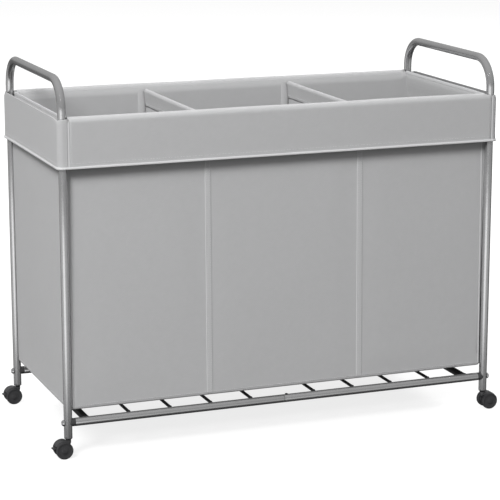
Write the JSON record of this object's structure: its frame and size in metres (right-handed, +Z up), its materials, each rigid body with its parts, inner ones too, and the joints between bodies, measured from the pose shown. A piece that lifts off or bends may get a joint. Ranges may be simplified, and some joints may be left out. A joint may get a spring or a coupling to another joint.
{
  "type": "laundry cart",
  "caption": "Compartmented fabric laundry sorter cart in a grey tubular steel frame, with bent end handles, an open wire base and twin-wheel swivel casters.",
  "frame": {"origin": "on the floor under the middle of the cart", "axes": "+X along the cart, +Y from the front to the rear, +Z up"},
  "size_m": [0.9405, 0.41, 0.7248],
  "materials": {
    "grey_fabric": "fine woven, light grey",
    "fibre_board": "hard fibre board, matt",
    "grey_steel": "silver-grey satin powder coat",
    "zinc_steel": "bright zinc",
    "wheel_plastic": "moulded black",
    "black_plastic": "moulded black, satin"
  },
  "bodies": {
    "cart": {"bag_floor": "grey_fabric", "bag_front": "grey_fabric", "bag_left": "grey_fabric", "bag_rear": "grey_fabric", "bag_right": "grey_fabric", "band_front": "grey_fabric", "band_left": "grey_fabric", "band_rear": "grey_fabric", "band_right": "grey_fabric", "base_bolt_front_left": "zinc_steel", "base_bolt_front_right": "zinc_steel", "base_bolt_rear_left": "zinc_steel", "base_bolt_rear_right": "zinc_steel", "base_panel_left": "grey_steel", "base_panel_right": "grey_steel", "board_left": "fibre_board", "board_middle": "fibre_board", "board_right": "fibre_board", "caster_socket_front_left": "black_plastic", "caster_socket_front_right": "black_plastic", "caster_socket_rear_left": "black_plastic", "caster_socket_rear_right": "black_plastic", "divider_left": "grey_fabric", "divider_right": "grey_fabric", "divider_rod_left": "grey_steel", "divider_rod_right": "grey_steel", "handle_left": "grey_steel", "handle_right": "grey_steel", "leg_front_left": "grey_steel", "leg_front_right": "grey_steel", "leg_rear_left": "grey_steel", "leg_rear_right": "grey_steel", "lock_screw_front": "zinc_steel", "lock_screw_rear": "zinc_steel", "rail_sleeve_front": "zinc_steel", "rail_sleeve_rear": "zinc_steel", "saddle_washer_front_left": "black_plastic", "saddle_washer_front_right": "black_plastic", "saddle_washer_rear_left": "black_plastic", "saddle_washer_rear_right": "black_plastic", "top_rail_front": "grey_steel", "top_rail_rear": "grey_steel"},
    "caster_front_left": {"caster_housing_front_left": "black_plastic", "caster_axle_front_left": "zinc_steel"},
    "wheel_front_left_near": {"wheel_front_left_near": "wheel_plastic"},
    "wheel_front_left_far": {"wheel_front_left_far": "wheel_plastic"},
    "brake_front_left": {"brake_lever_front_left": "black_plastic"},
    "caster_front_right": {"caster_housing_front_right": "black_plastic", "caster_axle_front_right": "zinc_steel"},
    "wheel_front_right_near": {"wheel_front_right_near": "wheel_plastic"},
    "wheel_front_right_far": {"wheel_front_right_far": "wheel_plastic"},
    "caster_rear_left": {"caster_housing_rear_left": "black_plastic", "caster_axle_rear_left": "zinc_steel"},
    "wheel_rear_left_near": {"wheel_rear_left_near": "wheel_plastic"},
    "wheel_rear_left_far": {"wheel_rear_left_far": "wheel_plastic"},
    "brake_rear_left": {"brake_lever_rear_left": "black_plastic"},
    "caster_rear_right": {"caster_housing_rear_right": "black_plastic", "caster_axle_rear_right": "zinc_steel"},
    "wheel_rear_right_near": {"wheel_rear_right_near": "wheel_plastic"},
    "wheel_rear_right_far": {"wheel_rear_right_far": "wheel_plastic"}
  },
  "joints": [
    {"name": "swivel_front_left", "type": "hinge", "parent": "cart", "child": "caster_front_left", "pos_m": [-0.44, -0.19, 0.045], "axis": [0, 0, 1], "continuous": true},
    {"name": "spin_front_left_near", "type": "hinge", "parent": "caster_front_left", "child": "wheel_front_left_near", "pos_m": [-0.4508, -0.2018, 0.0164], "axis": [0, 1, 0], "continuous": true},
    {"name": "spin_front_left_far", "type": "hinge", "parent": "caster_front_left", "child": "wheel_front_left_far", "pos_m": [-0.4508, -0.1782, 0.0164], "axis": [0, 1, 0], "continuous": true},
    {"name": "press_brake_front_left", "type": "hinge", "parent": "caster_front_left", "child": "brake_front_left", "pos_m": [-0.4656, -0.19, 0.0192], "axis": [0, -1, 0], "range_deg": [0, 15]},
    {"name": "swivel_front_right", "type": "hinge", "parent": "cart", "child": "caster_front_right", "pos_m": [0.44, -0.19, 0.045], "axis": [0, 0, 1], "continuous": true},
    {"name": "spin_front_right_near", "type": "hinge", "parent": "caster_front_right", "child": "wheel_front_right_near", "pos_m": [0.4508, -0.2018, 0.0164], "axis": [0, 1, 0], "continuous": true},
    {"name": "spin_front_right_far", "type": "hinge", "parent": "caster_front_right", "child": "wheel_front_right_far", "pos_m": [0.4508, -0.1782, 0.0164], "axis": [0, 1, 0], "continuous": true},
    {"name": "swivel_rear_left", "type": "hinge", "parent": "cart", "child": "caster_rear_left", "pos_m": [-0.44, 0.19, 0.045], "axis": [0, 0, 1], "continuous": true},
    {"name": "spin_rear_left_near", "type": "hinge", "parent": "caster_rear_left", "child": "wheel_rear_left_near", "pos_m": [-0.4508, 0.1782, 0.0164], "axis": [0, 1, 0], "continuous": true},
    {"name": "spin_rear_left_far", "type": "hinge", "parent": "caster_rear_left", "child": "wheel_rear_left_far", "pos_m": [-0.4508, 0.2018, 0.0164], "axis": [0, 1, 0], "continuous": true},
    {"name": "press_brake_rear_left", "type": "hinge", "parent": "caster_rear_left", "child": "brake_rear_left", "pos_m": [-0.4656, 0.19, 0.0192], "axis": [0, -1, 0], "range_deg": [0, 15]},
    {"name": "swivel_rear_right", "type": "hinge", "parent": "cart", "child": "caster_rear_right", "pos_m": [0.44, 0.19, 0.045], "axis": [0, 0, 1], "continuous": true},
    {"name": "spin_rear_right_near", "type": "hinge", "parent": "caster_rear_right", "child": "wheel_rear_right_near", "pos_m": [0.4508, 0.1782, 0.0164], "axis": [0, 1, 0], "continuous": true},
    {"name": "spin_rear_right_far", "type": "hinge", "parent": "caster_rear_right", "child": "wheel_rear_right_far", "pos_m": [0.4508, 0.2018, 0.0164], "axis": [0, 1, 0], "continuous": true}
  ]
}
